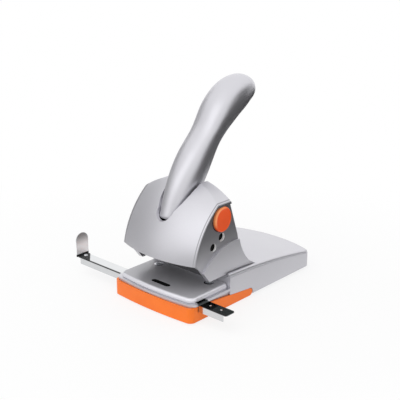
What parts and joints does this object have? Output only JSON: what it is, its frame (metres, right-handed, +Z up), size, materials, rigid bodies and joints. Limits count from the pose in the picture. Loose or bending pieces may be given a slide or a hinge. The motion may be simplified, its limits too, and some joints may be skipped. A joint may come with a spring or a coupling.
{
  "type": "electric hole punch",
  "caption": "Heavy-duty desk hole punch for two holes, with a long lever, a locking button, a sliding paper stop and a swing-out chip tray.",
  "frame": {"origin": "on the standing plane, midway between the two punches, on the line through the punch axes", "axes": "+Z up, +Y from the paper slit to the rear of the base, +X to the right along the line of the punches"},
  "size_m": [0.2435, 0.234, 0.2499],
  "materials": {
    "silver_paint": "silver metallic paint",
    "silver_plastic": "silver metallic",
    "grey_paint": "gloss",
    "dark_plastic": "matt",
    "dark_steel": "blackened",
    "steel": "ground",
    "zinc_steel": "bright zinc",
    "orange_plastic": "gloss",
    "rubber": "matt"
  },
  "bodies": {
    "base": {"base_body": "silver_paint", "rear_cover": "silver_paint", "bottom_pan": "dark_plastic", "pan_screws": "steel", "paper_table": "grey_paint", "die_bushes": "steel", "rubber_feet": "rubber", "head_housing": "silver_paint", "head_bolts": "steel", "punch_guide": "dark_steel", "guide_screws": "steel", "bushes": "steel", "pivot_axle": "steel", "ruler_spring": "steel", "tray_pins": "steel", "return_spring_left": "steel", "return_spring_right": "steel", "lock_spring": "steel"},
    "lever": {"lever_core": "dark_steel", "side_links": "dark_steel", "press_shaft": "steel", "handle": "silver_plastic", "handle_pins": "steel"},
    "punch_set": {"press_bar": "steel", "punch_left": "steel", "punch_right": "steel", "punch_pins": "dark_steel"},
    "lock": {"lock_button": "orange_plastic", "lock_ring": "steel"},
    "ruler_body": {"ruler": "zinc_steel", "end_stop": "zinc_steel", "end_stop_rivet": "steel"},
    "tray": {"chip_tray": "orange_plastic"}
  },
  "joints": [
    {"name": "lever_hinge", "type": "hinge", "parent": "base", "child": "lever", "pos_m": [0, -0.008, 0.0766], "axis": [-1, 0, 0], "range_deg": [0, 42], "stiffness_Nm_per_rad": 0.55, "springref_deg": -57.3},
    {"name": "punch_slide", "type": "slide", "parent": "base", "child": "punch_set", "axis": [0, 0, -1], "range_m": [0, 0.0118], "deforming": ["return_spring_left", "return_spring_right"]},
    {"name": "lock_slide", "type": "slide", "parent": "base", "child": "lock", "axis": [-1, 0, 0], "range_m": [0, 0.003], "stiffness_N_per_m": 300, "springref_m": -0.004, "deforming": ["lock_spring"]},
    {"name": "ruler_slide", "type": "slide", "parent": "base", "child": "ruler_body", "axis": [1, 0, 0], "range_m": [-0.035, 0.07]},
    {"name": "tray_hinge", "type": "hinge", "parent": "base", "child": "tray", "pos_m": [0, 0.048, 0.00606], "axis": [1, 0, 0], "range_deg": [0, 35]}
  ],
  "couplings": [
    {"joint": "punch_slide", "follows": "lever_hinge", "m_per_rad": 0.01593}
  ]
}
